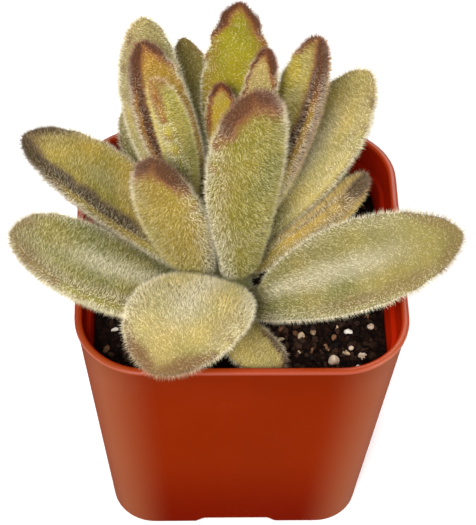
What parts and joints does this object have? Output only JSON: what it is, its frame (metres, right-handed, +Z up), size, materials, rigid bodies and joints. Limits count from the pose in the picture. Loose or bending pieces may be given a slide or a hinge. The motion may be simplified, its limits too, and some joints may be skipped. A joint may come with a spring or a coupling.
{
  "type": "potted panda plant",
  "caption": "Potted panda plant: thick felted leaves with brown-toothed tips on a short stem, in a small square terracotta-coloured plastic nursery pot.",
  "frame": {"origin": "middle of the pot's flat foot, on the surface that it stands on", "axes": "+Z up, +X to the plant's right seen from the front, +Y to its back"},
  "size_m": [0.0724, 0.07, 0.1031],
  "materials": {
    "pot_plastic": "satin",
    "potting_mix": "rough",
    "stem_skin": "matte",
    "leaf_felt": "felted"
  },
  "bodies": {
    "root": {"pot": "pot_plastic", "potting_mix": "potting_mix", "stem": "stem_skin", "leaf_front_right_low": "leaf_felt", "leaf_right_front": "leaf_felt", "leaf_left_front": "leaf_felt", "leaf_back_low_left": "leaf_felt", "leaf_back_low_right": "leaf_felt", "leaf_front_low": "leaf_felt", "leaf_left_back": "leaf_felt", "leaf_right_back_small": "leaf_felt", "leaf_back_dark": "leaf_felt", "leaf_front_left_up": "leaf_felt", "leaf_front_up": "leaf_felt", "leaf_right_back_big": "leaf_felt", "leaf_back_left_tall": "leaf_felt", "leaf_right_up": "leaf_felt", "leaf_left_up": "leaf_felt", "leaf_back_centre": "leaf_felt", "leaf_left_young": "leaf_felt", "leaf_right_young": "leaf_felt", "leaf_bud": "leaf_felt", "leaf_bud_front": "leaf_felt"}
  },
  "joints": []
}
